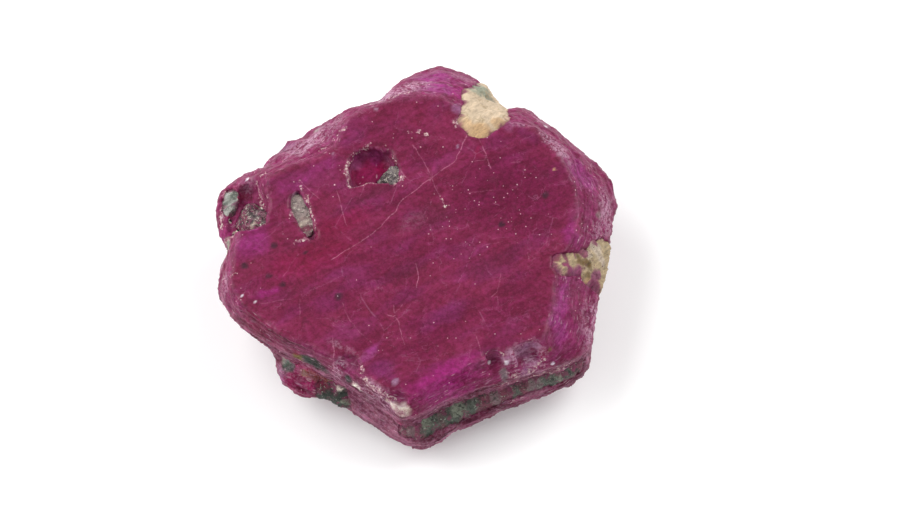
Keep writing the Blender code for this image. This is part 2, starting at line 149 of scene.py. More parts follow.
# Patches of colour on top: middle (x, y), reach along and across, turn in degrees, colour, share
TOP_PATCHES = [
    (6.6, 4.0, 6.5, 4.4, 30, "wine", 0.85), (9.6, 2.6, 5.0, 3.4, 40, "wine", 0.7),
    (-12.0, -7.7, 2.8, 0.9, -38, "crimson", 0.8), (13.1, 1.6, 2.2, 1.2, 85, "plum", 0.9),
    (11.8, -7.3, 2.2, 0.7, 84, "hot", 0.8), (1.0, -8.6, 6.0, 2.2, 28, "wine", 0.7),
    (7.2, -6.0, 4.0, 2.0, 28, "wine", 0.4), (-8.2, 5.0, 4.8, 1.7, 33, "plum", 0.7),
    (-9.8, 4.6, 1.8, 0.9, 30, "magenta", 0.4), (-7.4, 6.0, 1.8, 0.9, 35, "magenta", 0.5),
    (-4.9, 8.6, 1.6, 0.9, 30, "purple", 0.5), (-12.9, -0.7, 2.3, 1.7, 35, "magenta", 0.9),
    (-11.6, -5.0, 1.4, 0.5, 28, "hot", 0.8), (-8.4, -2.2, 6.0, 1.8, 22, "scarlet", 0.8),
    (-6.0, 0.9, 4.0, 1.2, 26, "scarlet", 0.8), (-3.2, 3.7, 3.0, 0.8, 24, "umber", 0.75),
    (-1.6, 2.9, 2.6, 0.6, 30, "wine", 0.7), (2.2, 6.4, 1.7, 0.7, 46, "plum", 0.75),
    (-0.3, 4.2, 1.5, 0.6, 38, "plum", 0.5), (5.2, 7.5, 1.2, 0.34, 84, "scarlet", 0.9),
    (8.4, 4.9, 3.2, 1.6, 30, "wine", 0.6), (10.7, 0.4, 1.7, 1.1, 40, "wine", 0.6),
    (1.2, 1.6, 2.6, 1.4, 26, "umber", 0.7), (6.0, -2.9, 2.4, 1.4, 28, "umber", 0.6),
    (-0.6, -3.1, 2.4, 1.1, 28, "umber", 0.55), (7.9, -1.3, 1.8, 0.9, 30, "umber", 0.45),
    (2.0, -4.6, 2.6, 1.1, 28, "crimson", 0.5), (2.4, -7.0, 2.8, 1.1, 30, "purple", 0.6),
    (7.4, -8.0, 2.3, 0.7, 38, "plum", 0.75), (-5.4, -8.6, 2.8, 1.3, 20, "plum", 0.8),
    (-3.4, -10.3, 1.3, 0.55, 38, "orchid", 0.7), (-2.4, -11.8, 1.6, 1.2, 30, "purple", 0.8),
    (2.3, -12.3, 4.6, 1.6, 27, "hot", 0.75), (3.2, -11.2, 2.0, 0.7, 27, "hot", 0.35),
    (-1.1, -9.2, 2.2, 0.9, 30, "crimson", 0.7), (-11.3, -6.6, 1.8, 0.9, 20, "crimson", 0.7),
    (4.4, 0.2, 1.8, 0.9, 30, "crimson", 0.5), (0.8, 7.6, 1.8, 0.7, 20, "wine", 0.7),
    (0.4, 10.7, 2.8, 0.8, 8, "crimson", 0.7), (-3.2, 10.4, 1.8, 0.7, 20, "crimson", 0.5),
    (9.0, 8.9, 1.5, 0.6, -25, "purple", 0.6), (7.7, 9.8, 1.2, 0.5, 10, "mauve", 0.7),
    (1.8, 13.4, 2.2, 1.0, -10, "orchid", 0.9), (1.6, 15.2, 2.8, 1.2, -8, "orchid", 0.8),
    (3.8, 13.0, 1.4, 0.9, -30, "hot", 0.8), (-10.3, 9.6, 1.0, 0.8, 0, "lilac", 0.7),
    (13.4, 5.8, 2.4, 1.1, -62, "orchid", 0.9), (12.4, 0.2, 1.4, 0.9, 60, "magenta", 0.8),
    (11.5, -6.8, 3.6, 0.9, 84, "orchid", 0.7), (11.8, -4.2, 1.1, 0.6, 60, "orchid", 0.6),
    (-13.4, 5.6, 1.2, 0.8, 40, "mauve", 0.6), (-15.0, 1.6, 0.9, 1.4, 0, "hot", 0.5),
]

# Small marks with a clear edge: x, y, radius, colour
TOP_SPOTS = [
    (3.35, 11.3, 0.62, "lilac"), (-8.7, -1.6, 0.22, "shade"), (-11.1, -0.95, 0.34, "shade"),
    (-13.4, -2.7, 0.36, "shade"), (-11.5, -3.6, 0.3, "shade"), (-10.4, -4.3, 0.3, "shade"),
    (-6.0, -5.4, 0.44, "shade"), (-8.5, -7.5, 0.32, "umber"), (10.4, 3.5, 0.36, "shade"),
    (6.9, 0.9, 0.34, "shade"), (6.2, 5.0, 0.4, "umber"), (-6.6, 7.2, 0.2, "grey_lilac"),
    (-3.15, 11.26, 0.16, "grey_lilac"), (11.2, 5.8, 0.15, "ochre"), (-1.5, -12.7, 0.4, "grey_lilac"),
    (3.4, 7.9, 0.16, "grey_lilac"), (8.7, -10.9, 0.42, "lilac"), (7.04, -11.3, 0.4, "ash"),
]

# Frosted ground: middle (x, y), reach along and across, turn in degrees, share
TOP_FROST = [
    (13.5, -6.2, 2.8, 0.8, 84, 0.45),
    (-8.2, 9.2, 4.0, 1.5, 36, 0.9), (-10.6, 8.8, 1.3, 1.0, 30, 0.5), (-12.6, 7.2, 2.2, 0.9, 25, 0.5),
    (-1.0, 13.6, 4.0, 1.2, 18, 1.0), (3.8, 15.6, 1.8, 0.6, -35, 0.4), (10.2, 11.6, 1.2, 0.8, -45, 0.5),
    (11.2, 8.2, 2.8, 0.7, -52, 0.95), (15.4, 3.2, 3.0, 0.9, -82, 0.8), (14.0, -6.4, 3.6, 0.7, 78, 0.8),
    (12.6, -10.5, 1.6, 0.6, 30, 0.6), (-15.1, -3.9, 1.8, 0.6, 80, 0.5), (-13.2, -7.4, 2.4, 0.5, -42, 0.6),
    (-9.6, -9.9, 2.6, 0.4, -25, 0.6), (-6.1, -11.2, 1.2, 0.6, 20, 0.9), (-13.4, 5.4, 1.0, 0.7, 60, 0.4),
    (-2.9, -13.5, 2.4, 0.7, -40, 0.9), (8.6, -10.3, 2.4, 1.3, 15, 1.0), (-0.2, 1.2, 1.6, 1.0, 40, 0.12),
    (-5.5, -9.8, 2.0, 0.5, -30, 0.35), (8.6, 9.9, 1.4, 0.4, 0, 0.5), (14.6, 1.4, 1.6, 0.8, 60, 0.7),
]

# Crusts of pale mineral: half its width, and its line. A point without a height is on the flat face.
CRUSTS = [
    (0.17, [(-5.3, 4.4), (-4.9, 4.5), (-4.4, 4.55)]),
    (0.16, [(-5.3, 4.4), (-4.6, 4.45), (-3.9, 4.65), (-3.1, 5.0), (-2.5, 4.95), (-1.7, 4.7), (-1.0, 5.1)]),
    (0.12, [(-5.2, 4.6), (-5.4, 5.5), (-5.4, 6.2), (-5.0, 6.8)]),
    (0.1, [(-9.4, 2.7), (-8.9, 1.9), (-8.2, 1.2)]),
    (0.07, [(-12.0, 5.8, 9.2), (-12.7, 5.2, 8.5), (-12.4, 4.6, 8.2), (-12.2, 3.6, 8.0), (-11.9, 2.7, 7.8)]),
    (0.1, [(-11.8, 3.4), (-11.9, 1.9), (-11.9, 1.0)]),
    (0.12, [(-12.0, 1.1), (-12.8, 1.0), (-13.6, 0.8), (-14.1, 0.6, 9.0), (-14.4, 0.5, 8.5)]),
    (0.13, [(-14.4, 0.5, 8.5), (-14.8, 0.8, 7.5), (-15.1, 1.1, 6.7)]),
    (0.12, [(-15.5, 3.7, 6.6), (-15.5, 3.1, 6.9), (-15.5, 2.3, 6.6)]),
    (0.11, [(-15.4, 5.4, 6.8), (-15.2, 4.9, 6.5), (-15.3, 4.0, 6.6)]),
    (0.11, [(-9.8, 1.9), (-9.0, 1.0), (-8.6, 0.6), (-8.5, 0.1)]),
    (0.1, [(-9.5, -0.7), (-9.1, -0.5), (-8.6, -0.2)]),
    (0.04, [(-8.8, 3.8), (-8.3, 2.4), (-7.9, 1.1), (-8.0, 0.2)]), (0.06, [(-9.2, 4.7), (-9.1, 4.1)]),
    (0.1, [(-5.3, 4.4), (-4.5, 4.7), (-3.7, 4.8), (-3.1, 5.2)]),
    (0.08, [(-5.3, 4.5), (-5.2, 5.3), (-5.4, 6.1), (-4.9, 7.2), (-4.1, 7.6), (-3.6, 8.2)]),
    (0.1, [(-4.4, 7.3), (-4.0, 7.7)]), (0.08, [(-5.2, 4.3), (-5.0, 4.9)]),
    (0.04, [(-2.4, 8.0), (-2.0, 7.2), (-1.4, 6.0)]), (0.06, [(-2.9, 5.2), (-2.0, 5.0), (-1.1, 5.1)]),
    (0.05, [(-11.6, 6.1), (-10.4, 6.3), (-9.2, 6.9), (-7.8, 7.5), (-6.9, 8.0), (-6.4, 8.9), (-5.5, 9.7)]),
    (0.08, [(-4.7, 12.3, 8.8), (-3.2, 12.5, 9.2), (-1.5, 12.7, 9.8), (-0.6, 13.1, 9.8)]),
    (0.08, [(-0.6, 9.2), (-0.4, 9.2)]), (0.07, [(0.1, 9.2), (0.3, 9.2)]), (0.1, [(0.7, 9.0), (1.0, 8.9)]),
    (0.08, [(3.2, 10.2), (3.2, 9.6)]), (0.04, [(1.9, 3.7), (2.2, 3.1), (2.4, 2.5)]),
    (0.1, [(-15.1, -2.9, 7.6), (-15.2, -3.3, 7.6)]), (0.04, [(-14.8, -3.7), (-13.8, -3.2)]),
    (0.13, [(-4.1, -11.5), (-3.9, -12.0, 8.3), (-3.4, -12.8, 8.1), (-2.5, -13.5, 8.1), (-1.7, -13.9, 7.8)]),
    (0.2, [(-1.4, -14.7, 7.2), (-0.8, -14.8, 7.2)]), (0.12, [(-4.8, -12.0, 7.2), (-4.4, -12.3, 6.7)]),
    (0.06, [(4.2, -13.2, 4.7), (2.2, -13.8, 4.7), (1.2, -14.3, 4.7), (0.4, -14.5, 4.8)]),
    (0.08, [(5.8, -10.3), (6.5, -10.2, 8.6), (7.0, -10.3, 8.5), (7.6, -10.8, 8.0), (8.6, -11.1, 7.0)]),
    (0.07, [(7.4, -11.2, 7.0), (8.4, -11.2, 6.2), (9.3, -10.7, 6.7), (10.2, -10.2, 7.2)]),
    (0.04, [(8.7, -9.5), (9.1, -9.3), (9.4, -9.6), (9.3, -10.0), (8.9, -10.1), (8.7, -9.8)]),
    (0.06, [(6.6, -11.5, 5.7), (8.7, -10.8, 5.1), (10.8, -10.0, 4.9), (12.7, -9.2, 5.2)]),
    (0.06, [(7.6, -11.9, 3.5), (7.9, -11.8, 3.4), (8.3, -11.6, 3.7)]),
]

# Painted highlights: pale spots painted into the tint where clean facets would glint: x, y, z, radius
PAINTED_GLINT_WHITE = 0.8
PAINTED_GLINTS = [
    (11.4, -10.05, 5.7, 0.3), (7.3, -9.9, 8.3, 0.25), (6.2, -10.9, 8.2, 0.22), (9.9, -10.1, 7.6, 0.22),
    (10.9, -10.1, 6.6, 0.2), (7.2, -10.7, 7.9, 0.22), (5.9, -10.5, 7.7, 0.16), (-13.5, 5.9, 8.2, 0.22),
    (10.5, 10.5, 8.6, 0.2), (-12.5, -5.8, 9.0, 0.1), (-13.6, -5.3, 9.0, 0.11), (-15.5, 3.1, 6.9, 0.2),
    (11.1, -10.1, 7.0, 0.12),
]

# Healed cracks in the flat face: how plain each is, and its line
CRACKS = [
    (1.0, [(4.2, 9.1), (3.7, 8.0), (3.3, 6.7), (2.6, 6.1), (1.0, 4.8), (-0.15, 3.8), (-1.2, 2.9),
           (-1.6, 2.0), (-2.6, 0.9), (-3.8, -0.2), (-4.9, -1.0), (-6.5, -2.1)]),
    (0.6, [(-0.1, 7.9), (1.0, 5.85), (1.9, 3.5)]), (0.7, [(-6.2, 3.8), (-5.9, 2.6), (-5.5, 1.0)]),
    (0.5, [(-9.1, 4.7), (-7.6, 3.2)]), (0.5, [(-1.5, 6.2), (-0.6, 5.0)]),
    (0.8, [(5.1, 8.7), (5.7, 7.1), (6.0, 6.0)]), (0.6, [(4.8, 6.5), (5.7, 6.7)]),
    (0.3, [(4.4, 3.7), (6.1, 4.0)]), (0.3, [(5.5, -1.0), (6.8, -0.6)]),
    (0.9, [(0.1, -2.7), (0.3, -3.5), (0.2, -4.5)]),
    (0.8, [(-1.6, -6.3), (-1.5, -7.2), (-1.2, -7.6), (-1.0, -8.7), (-0.8, -9.4)]),
    (0.6, [(-1.5, -7.2), (-2.0, -7.0)]), (0.5, [(-1.5, -6.9), (-1.0, -6.2)]),
    (0.4, [(-5.6, -6.1), (-5.1, -7.5), (-4.0, -8.8), (-3.5, -9.3)]),
    (1.0, [(-6.4, -9.1), (-6.3, -10.2), (-6.3, -10.9)]), (0.4, [(-9.0, -5.8), (-9.0, -7.2)]),
    (0.4, [(-12.1, -6.1), (-11.0, -5.8), (-9.8, -5.6)]), (0.8, [(6.8, -3.5), (6.5, -5.0), (6.1, -5.4)]),
    (0.5, [(6.5, -5.0), (6.6, -6.0)]), (0.8, [(4.9, -8.9), (5.1, -9.8), (5.3, -10.6)]),
    (0.5, [(8.9, -1.6), (9.0, -2.0)]), (0.5, [(7.9, 6.4), (8.3, 6.5)]), (0.5, [(6.4, 2.8), (6.6, 2.7)]),
    (0.7, [(6.4, 9.7), (7.1, 10.2), (8.0, 10.1), (8.9, 10.0)]), (1.0, [(9.1, 12.1), (10.3, 11.0)]),
]

# Patches on the sides, where the lower plate and the broken edges show: x, y, z, radius, colour, share
SIDE_PATCHES = [
    (13.0, 1.5, 9.3, 0.8, "crimson", 0.5), (12.9, 0.7, 9.3, 0.7, "crimson", 0.5),
    (-12.0, -7.7, 8.9, 1.2, "crimson", 0.35), (-9.1, -10.1, 3.6, 2.2, "ruby_red", 0.95),
    (-10.6, -9.3, 3.2, 0.7, "lilac", 0.7), (-8.3, -9.7, 4.7, 0.7, "pit", 0.35),
    (-10.0, -8.8, 3.9, 0.75, "green", 0.95), (-9.6, -8.9, 3.9, 0.4, "dark_green", 0.9),
    (-10.5, -8.3, 4.0, 0.45, "sage", 0.8), (-8.6, -9.7, 6.6, 1.0, "dark_green", 0.95),
    (-7.9, -10.1, 6.6, 1.0, "dark_green", 0.95), (-7.3, -10.4, 6.3, 0.9, "dark_green", 0.95),
    (-9.2, -9.4, 6.5, 0.6, "moss", 0.95), (-8.2, -9.9, 4.3, 0.6, "brown", 0.95),
    (-7.6, -10.0, 4.1, 0.6, "brown", 0.95), (-7.0, -10.1, 4.0, 0.6, "brown", 0.95),
    (-6.6, -10.3, 4.1, 0.4, "moss", 0.9), (-8.8, -9.7, 4.2, 0.4, "moss", 0.7),
    (-9.3, -9.4, 7.1, 0.5, "scarlet", 0.8), (-5.2, -11.7, 7.0, 0.5, "dark_green", 0.95),
    (-4.5, -12.1, 6.7, 0.5, "chalk", 0.95), (-4.3, -12.3, 6.2, 0.35, "chalk", 0.9),
    (-15.0, 0.6, 6.9, 0.8, "sage", 0.9), (-14.8, -0.6, 7.0, 0.8, "sage", 0.8),
    (-14.9, -1.3, 6.8, 0.7, "pale", 0.7), (-8.0, 10.7, 7.8, 0.5, "sage", 0.8),
    (5.6, 14.9, 7.6, 0.5, "sage", 0.6), (10.6, -9.6, 7.9, 0.3, "moss", 0.7),
    (-12.6, 1.5, 8.3, 0.7, "lilac", 0.7), (-13.6, 1.6, 7.8, 0.7, "lilac", 0.7),
    (-0.8, -14.5, 7.2, 0.75, "chalk", 0.95), (-1.6, -14.1, 7.3, 0.5, "chalk", 0.9),
    (-2.1, -13.8, 7.4, 0.35, "ivory", 0.9), (-1.1, -14.5, 4.9, 0.4, "scarlet", 0.8),
    (-9.7, 3.8, 9.3, 0.5, "grey_lilac", 0.8), (-9.9, 3.2, 9.0, 0.35, "grey_lilac", 0.8),
    (-13.5, 5.0, 7.5, 0.6, "wine", 0.8), (-14.1, 4.7, 7.2, 0.6, "scarlet", 0.8),
    (14.6, 2.6, 8.0, 0.5, "sage", 0.4), (10.4, 8.7, 9.5, 0.4, "moss", 0.5),
    (14.2, -3.2, 6.6, 0.6, "grey_lilac", 0.6), (-3.4, 6.4, 8.6, 1.4, "ruby_red", 0.85),
    (-2.7, 6.8, 8.6, 0.8, "pit", 0.4), (-4.5, 5.7, 8.6, 1.0, "ruby_red", 0.85),
    (8.6, -11.9, 2.9, 2.0, "wine", 0.8), (5.0, -13.2, 3.0, 2.0, "wine", 0.7),
    (11.5, -10.6, 2.9, 1.8, "wine", 0.7), (7.9, -11.0, 5.9, 0.6, "wine", 0.7),
    (8.3, -9.7, 7.4, 1.1, "petal", 0.3), (8.3, -9.9, 6.8, 0.6, "ruby_red", 0.6),
    (-3.2, 7.5, 9.0, 0.9, "magenta", 0.6), (-4.6, 7.2, 9.0, 0.8, "magenta", 0.5),
    (9.6, -9.3, 8.0, 0.55, "petal", 0.5), (8.7, -9.2, 8.0, 0.5, "lilac", 0.7),
    (9.3, -10.2, 7.2, 0.6, "petal", 0.4), (7.2, -10.4, 7.9, 0.6, "petal", 0.4),
    (9.3, -9.6, 7.6, 0.4, "ruby_red", 0.9), (10.0, -9.9, 7.8, 0.7, "ruby_red", 0.9),
    (8.2, -10.3, 6.8, 0.45, "ruby_red", 0.8), (7.8, -9.6, 8.0, 0.3, "ruby_red", 0.7),
]

# The crumbly ground between the grains in the corner pocket: x, y, z, radius
CRUMBS = [(-13.0, 2.6, 7.9, 1.4), (-14.0, 1.4, 7.2, 0.9), (-15.0, 2.9, 6.6, 0.6), (-3.9, -12.9, 4.2, 0.5)]

# The grains by node: rock, width and depth of its chips, its colour, how far ruby grows over its edge, how much
# it swells out, and patches as on the sides
GRAINS = {
    "feldspar_grain_back": ("cream_feldspar", 0.7, 0.16, "cream", 0.15, 0.0, [
        (5.2, 9.2, 10.1, 1.0, "ochre", 0.9), (4.2, 9.8, 10.1, 0.8, "ochre", 0.7),
        (6.6, 10.1, 10.1, 0.7, "ochre", 0.7), (5.6, 14.4, 8.2, 1.2, "sage", 0.95),
        (5.0, 13.7, 9.0, 0.6, "sage", 0.8), (6.1, 13.7, 7.8, 0.6, "green", 0.6),
    ]),
    "mica_grain_right": ("cream_mica", 0.5, 0.14, "straw", 0.22, 0.0, [
        (13.1, -1.9, 8.5, 0.5, "bronze", 0.85), (13.8, -2.9, 7.6, 0.4, "ochre", 0.8),
        (12.25, -2.75, 8.9, 0.55, "magenta", 0.95), (12.0, -2.5, 9.0, 0.35, "rose", 0.9),
        (12.9, -2.9, 8.3, 0.8, "magenta", 0.95), (11.3, -3.2, 9.1, 0.6, "magenta", 0.95),
        (11.2, -1.9, 9.2, 0.55, "crimson", 0.95), (13.4, -3.5, 7.7, 0.5, "magenta", 0.95),
        (14.4, -2.5, 7.1, 0.75, "mauve", 0.95), (14.3, -3.2, 6.9, 0.8, "rose", 0.95),
        (13.0, -3.2, 8.1, 0.7, "magenta", 0.95), (15.1, -2.7, 6.4, 0.4, "straw", 0.9),
        (13.9, -3.1, 7.4, 0.22, "ivory", 0.95), (13.7, -0.9, 8.1, 0.6, "ivory", 0.7),
        (14.5, -0.3, 7.5, 0.8, "ivory", 0.8), (15.0, -1.0, 7.0, 0.6, "ivory", 0.8),
        (13.7, -1.8, 8.1, 0.6, "bronze", 0.95), (13.8, -2.6, 7.7, 0.4, "bronze", 0.8),
    ]),
    "mica_sliver": ("grey_green_mica", 0.35, 0.05, "ash_rose", 0.06, 0.0, [
        (-8.5, 1.7, 9.2, 0.45, "rust", 0.6), (-8.3, 0.9, 9.2, 0.6, "crimson", 0.9),
        (-8.8, 1.2, 9.2, 0.22, "ivory", 0.9),
    ]),
    "mica_crumb_centre": ("crumbled_mica", 0.3, 0.16, "ash", 0.12, 0.0, [
        (-2.4, 5.4, 9.2, 0.6, "shade", 0.9),
    ]),
    "mica_crust_corner_outer": ("grey_green_mica", 0.5, 0.16, "pale", 0.15, 0.0, [
        (-15.0, 4.6, 7.3, 0.8, "pale", 0.8), (-14.5, 4.9, 7.4, 0.6, "green", 0.85),
        (-14.4, 3.9, 7.6, 0.4, "magenta", 0.9), (-15.0, 4.4, 7.3, 0.3, "green", 0.6),
        (-15.0, 3.6, 7.3, 0.4, "pale", 0.9),
    ]),
    "mica_crust_corner_inner": ("crumbled_mica", 0.45, 0.2, "rose", 0.35, 0.0, [
        (-12.1, 2.1, 8.5, 0.6, "pale", 0.95), (-12.1, 3.0, 8.6, 0.45, "ivory", 0.9),
        (-12.9, 1.7, 8.2, 0.4, "ivory", 0.8), (-12.9, 2.6, 8.2, 0.7, "ash", 0.7),
        (-13.1, 3.0, 8.0, 0.7, "shade", 0.8), (-12.8, 2.2, 8.2, 0.5, "shade", 0.7),
        (-13.9, 2.4, 7.6, 0.7, "crimson", 0.8), (-13.2, 3.9, 8.0, 0.5, "magenta", 0.8),
    ]),
    "green_seam_front": ("dark_green_zoisite", 0.5, 0.09, "russet", 0.18, 0.15, [
        (1.2, -14.3, 4.2, 1.2, "green", 0.95), (0.9, -14.3, 4.4, 0.5, "sage", 0.6),
        (2.9, -13.4, 4.5, 1.3, "green", 0.95), (4.3, -12.7, 4.6, 1.2, "green", 0.95),
        (3.4, -13.0, 4.6, 0.8, "sage", 0.6), (5.2, -12.4, 4.8, 0.6, "green", 0.9),
        (-0.2, -14.9, 4.2, 0.4, "ash", 0.5), (8.0, -11.4, 4.0, 0.45, "green", 0.9),
        (10.7, -10.4, 4.3, 1.2, "green", 0.9), (12.0, -9.8, 4.3, 1.1, "green", 0.85),
        (9.6, -10.8, 4.2, 0.8, "ash", 0.7), (11.5, -10.1, 4.2, 0.4, "sage", 0.6),
        (6.4, -12.1, 4.2, 0.5, "ash", 0.6), (0.3, -14.7, 5.2, 0.6, "wine", 0.9),
        (1.2, -14.2, 5.3, 0.6, "wine", 0.9), (2.1, -13.8, 5.4, 0.55, "scarlet", 0.9),
        (3.0, -13.3, 5.4, 0.5, "wine", 0.9), (4.1, -12.8, 5.5, 0.5, "wine", 0.9),
        (5.4, -12.3, 5.4, 0.6, "wine", 0.9), (6.6, -11.9, 5.0, 0.7, "scarlet", 0.8),
        (10.0, -10.6, 5.2, 0.6, "wine", 0.8), (11.2, -10.1, 5.3, 0.5, "wine", 0.8),
        (4.6, -12.8, 3.4, 0.6, "wine", 0.7),
    ]),
    "green_crumb_left": ("dark_green_zoisite", 0.45, 0.14, "dark_green", 0.2, 0.0, [
        (-5.6, -12.1, 3.6, 0.5, "sage", 0.8), (-6.4, -10.7, 4.2, 0.9, "rose", 0.9),
        (-7.2, -10.5, 4.0, 0.8, "scarlet", 0.95), (-5.3, -11.4, 4.1, 0.6, "dusty", 0.9),
        # painted highlight: the chalk spot on the crumb's top stands for a glint
        (-6.0, -11.0, 4.0, 0.28, "chalk", 1.0),
    ]),
}

# The rocks: slot, reach of the mottle in mm, its darkest and lightest tone, and flecks, each with its size, the
# noise where it starts and is full, and its colour. Feldspar is a matt, even cream with brown stains. The mica
# lies in pale flakes with dark flecks on the right, is duller on the left, and elsewhere is a mass of black and
# white bits. Zoisite is dark green with pale and red flecks. Their real grain, under 0.1 mm, wouldn't show, so
# flecks are drawn at 0.2 mm and more.
ROCKS = {
    "cream_feldspar": ("feldspar", (0.9, 0.35, 0.6), (0.76, 1.36), [(0.9, 0.56, 0.7, "#94805e")]),
    "cream_mica": ("mica", (0.8, 0.25, 0.4), (0.62, 1.35), [
        (0.3, 0.6, 0.68, "#4a3f2c"), (0.5, 0.6, 0.68, "#6e3a4c"),
    ]),
    "grey_green_mica": ("mica", (0.5, 0.25, 0.35), (0.55, 1.35), [
        (0.3, 0.57, 0.64, "#38362f"), (0.24, 0.58, 0.66, "#bdb8aa"),
    ]),
    "crumbled_mica": ("mica", (0.35, 0.2, 0.3), (0.6, 1.4), [
        (0.32, 0.51, 0.56, "#2c2426"), (0.3, 0.57, 0.62, "#8e8578"), (0.22, 0.59, 0.63, "#d6cdc0"),
    ]),
    "dark_green_zoisite": ("green_rock", (0.6, 0.3, 0.25), (0.5, 1.55), [
        (0.35, 0.54, 0.62, "#262c27"), (0.22, 0.6, 0.66, "#98a090"), (0.5, 0.57, 0.65, "#6a3448"),
    ]),
}

# Patterns in the ruby: turn in degrees, reach in mm, detail, roughness and distortion of the noise. Growth
# streaks and layers are 0.4 to 5 mm wide, as on the real crystal. Its frosting is finer than 0.1 mm, which
# wouldn't show, so grain and speckle are drawn coarser.
PATTERNS = {
    "streaks": (STREAK_TURN, (5.0, 0.9, 3.0), 6.0, 0.7, 0.6),
    "brushed": (STREAK_TURN + 11, (3.0, 0.45, 2.0), 5.0, 0.7, 0.4),
    "clouds": (0, (1.7, 1.4, 1.7), 6.0, 0.65, 1.0),
    "grain": (0, (0.33, 0.33, 0.33), 4.0, 0.75, 0.0),
    "speckle": (0, (0.22, 0.22, 0.22), 3.0, 0.7, 0.0),
    "layers": (0, (4.5, 4.5, 0.75), 6.0, 0.72, 0.5),
}
FIBRES = (5.0, 0.7, 0.4)  # detail, roughness and distortion
PATTERN_SPAN = (0.36, 0.64)  # noise that gives the darkest and the lightest tone

# Tones that the tint is multiplied by: pattern, the part it shows on, its darkest and its lightest
TONES = [
    ("streaks", "face", (0.88, 0.8, 0.84), (1.12, 1.18, 1.2)),
    ("brushed", "face", (0.92, 0.86, 0.9), (1.08, 1.14, 1.14)),
    ("clouds", None, (0.86, 0.74, 0.76), (1.14, 1.12, 1.24)),
    ("fibres", "bevel", (0.7, 0.55, 0.6), (1.32, 1.5, 1.44)),
    ("fibres", "side", (0.62, 0.48, 0.54), (1.35, 1.55, 1.48)),
    ("layers", "side", (0.42, 0.32, 0.37), (1.62, 1.85, 1.75)),
    ("grain", None, (0.76, 0.66, 0.7), (1.26, 1.4, 1.34)),
]

# Dust on the ruby: size of the cells, and the distance from the middle of each where its speck starts and is
# full. The real dust is finer, and is drawn as coarse as it needs to show.
DUST = [(0.36, 0.16, 0.08), (1.1, 0.07, 0.04)]
DUSTY_OVAL = (5.8, 2.2, 8.0, 6.0, 50)  # a patch with more of it

# Flakes on broken ground: cells per unit of the rim pattern, the share of cells with one, its reach from the
# middle of its cell, and its colour
FLAKES = [(1.2, 0.38, 0.32, "#b288a0"), (1.7, 0.32, 0.3, "#dcbcc6"), (1.4, 0.34, 0.38, "#4c1a34")]


def linear(code):
    """The linear colour of an sRGB hex value."""
    parts = [int(code[i:i + 2], 16) / 255 for i in (1, 3, 5)]
    return tuple(c / 12.92 if c <= 0.04045 else ((c + 0.055) / 1.055) ** 2.4 for c in parts)


def solid(code):
    """The same as an opaque paint."""
    return (*linear(code), 1)


def colour(name):
    """The linear colour of that name."""
    return np.array(linear(COLOURS[name]))


# Helpers on points

def ramp(value, low, high):
    """0 below low, 1 above high, and eased between. low may be above high."""
    share = np.clip((value - low) / (high - low), 0.0, 1.0)
    return share * share * (3 - 2 * share)


def wander(points, size, shift=0.0):
    """Smooth noise from -1 to 1 that changes over the distance size. shift only moves it elsewhere."""
    scaled = points / size + shift
    return np.array([noise.noise(Vector(p)) for p in scaled])


def rough(points, size, octaves, shift=0.0):
    """Noise with finer and weaker noise on it, from about -1 to 1."""
    total = np.zeros(len(points))
    for octave in range(octaves):
        total += wander(points, size / 2**octave, shift + 3.1 * octave) / 2**octave
    return total


def drift(points, size, shifts, octaves=1):
    """Noise with a column for each of the shifts, to move points about."""
    return np.column_stack([rough(points, size, octaves, shift) for shift in shifts])


def chips(points, size, shift=0.0):
    """Flat chips that each tilt their own way: heights from about -1 to 1."""
    heights, level = np.zeros(len(points)), Vector((0.5, 0.5, 0.5))
    for i, p in enumerate(points / size + shift):
        nearest = noise.voronoi(Vector(p))[1][0]
        heights[i] = 2.0 * (Vector(p) - nearest).dot(noise.cell_vector(nearest * 57.0) - level)
    return heights


def turned(xy, degrees):
    """The points' places along and across a direction on the plan."""
    angle = math.radians(degrees)
    along = xy[:, 0] * math.cos(angle) + xy[:, 1] * math.sin(angle)
    across = xy[:, 1] * math.cos(angle) - xy[:, 0] * math.sin(angle)
    return np.column_stack([along, across])


def stretches(points, line):
    """For each stretch of the line: its step, each point's offset from its start and distance from it."""
    for start, end in zip(line, line[1:]):
        step, off = np.subtract(end, start), points - start
        along = np.clip((off @ step) / (step @ step), 0, 1)
        yield step, off, np.linalg.norm(off - along[:, None] * step, axis=1)


def crack_distances(xy, lines):
    """Distance from the nearest of the lines, the same with a sign for the side of it, and its number."""
    near, side = np.full(len(xy), FAR), np.full(len(xy), FAR)
    which = np.zeros(len(xy), int)
    for number, line in enumerate(lines):
        for step, off, distance in stretches(xy, line):
            across = (step[0] * off[:, 1] - step[1] * off[:, 0]) / np.hypot(*step)
            closer = distance < near
            near[closer], side[closer], which[closer] = distance[closer], across[closer], number
    return near, side, which


def crust_distance(points, half, line):
    """Distance past the edge of a crust. Height counts half, so that a crust also runs down a wall."""
    line = [p if len(p) == 3 else (*p, FACE_HEIGHT + FACE_TILT * p[1]) for p in line]
    squash = (1, 1, 0.5)
    near = [distance for _, _, distance in stretches(points * squash, np.array(line) * squash)]
    return np.min(near, axis=0) - half


def inside(xy, outline):
    """True for points within the closed outline on the plan."""
    result = np.zeros(len(xy), bool)
    for (ax, ay), (bx, by) in zip(outline, outline[1:] + outline[:1]):
        crosses = (ay > xy[:, 1]) != (by > xy[:, 1])
        if ay != by:
            result ^= crosses & (xy[:, 0] < (bx - ax) * (xy[:, 1] - ay) / (by - ay) + ax)
    return result


def oval(xy, x, y, along, across, degrees):
    """1 in the middle of an oval drawn on the plan, falling to 0 at its edge."""
    place = turned(xy - (x, y), degrees) / (along, across)
    return ramp(np.linalg.norm(place, axis=1), 1.0, 0.3)


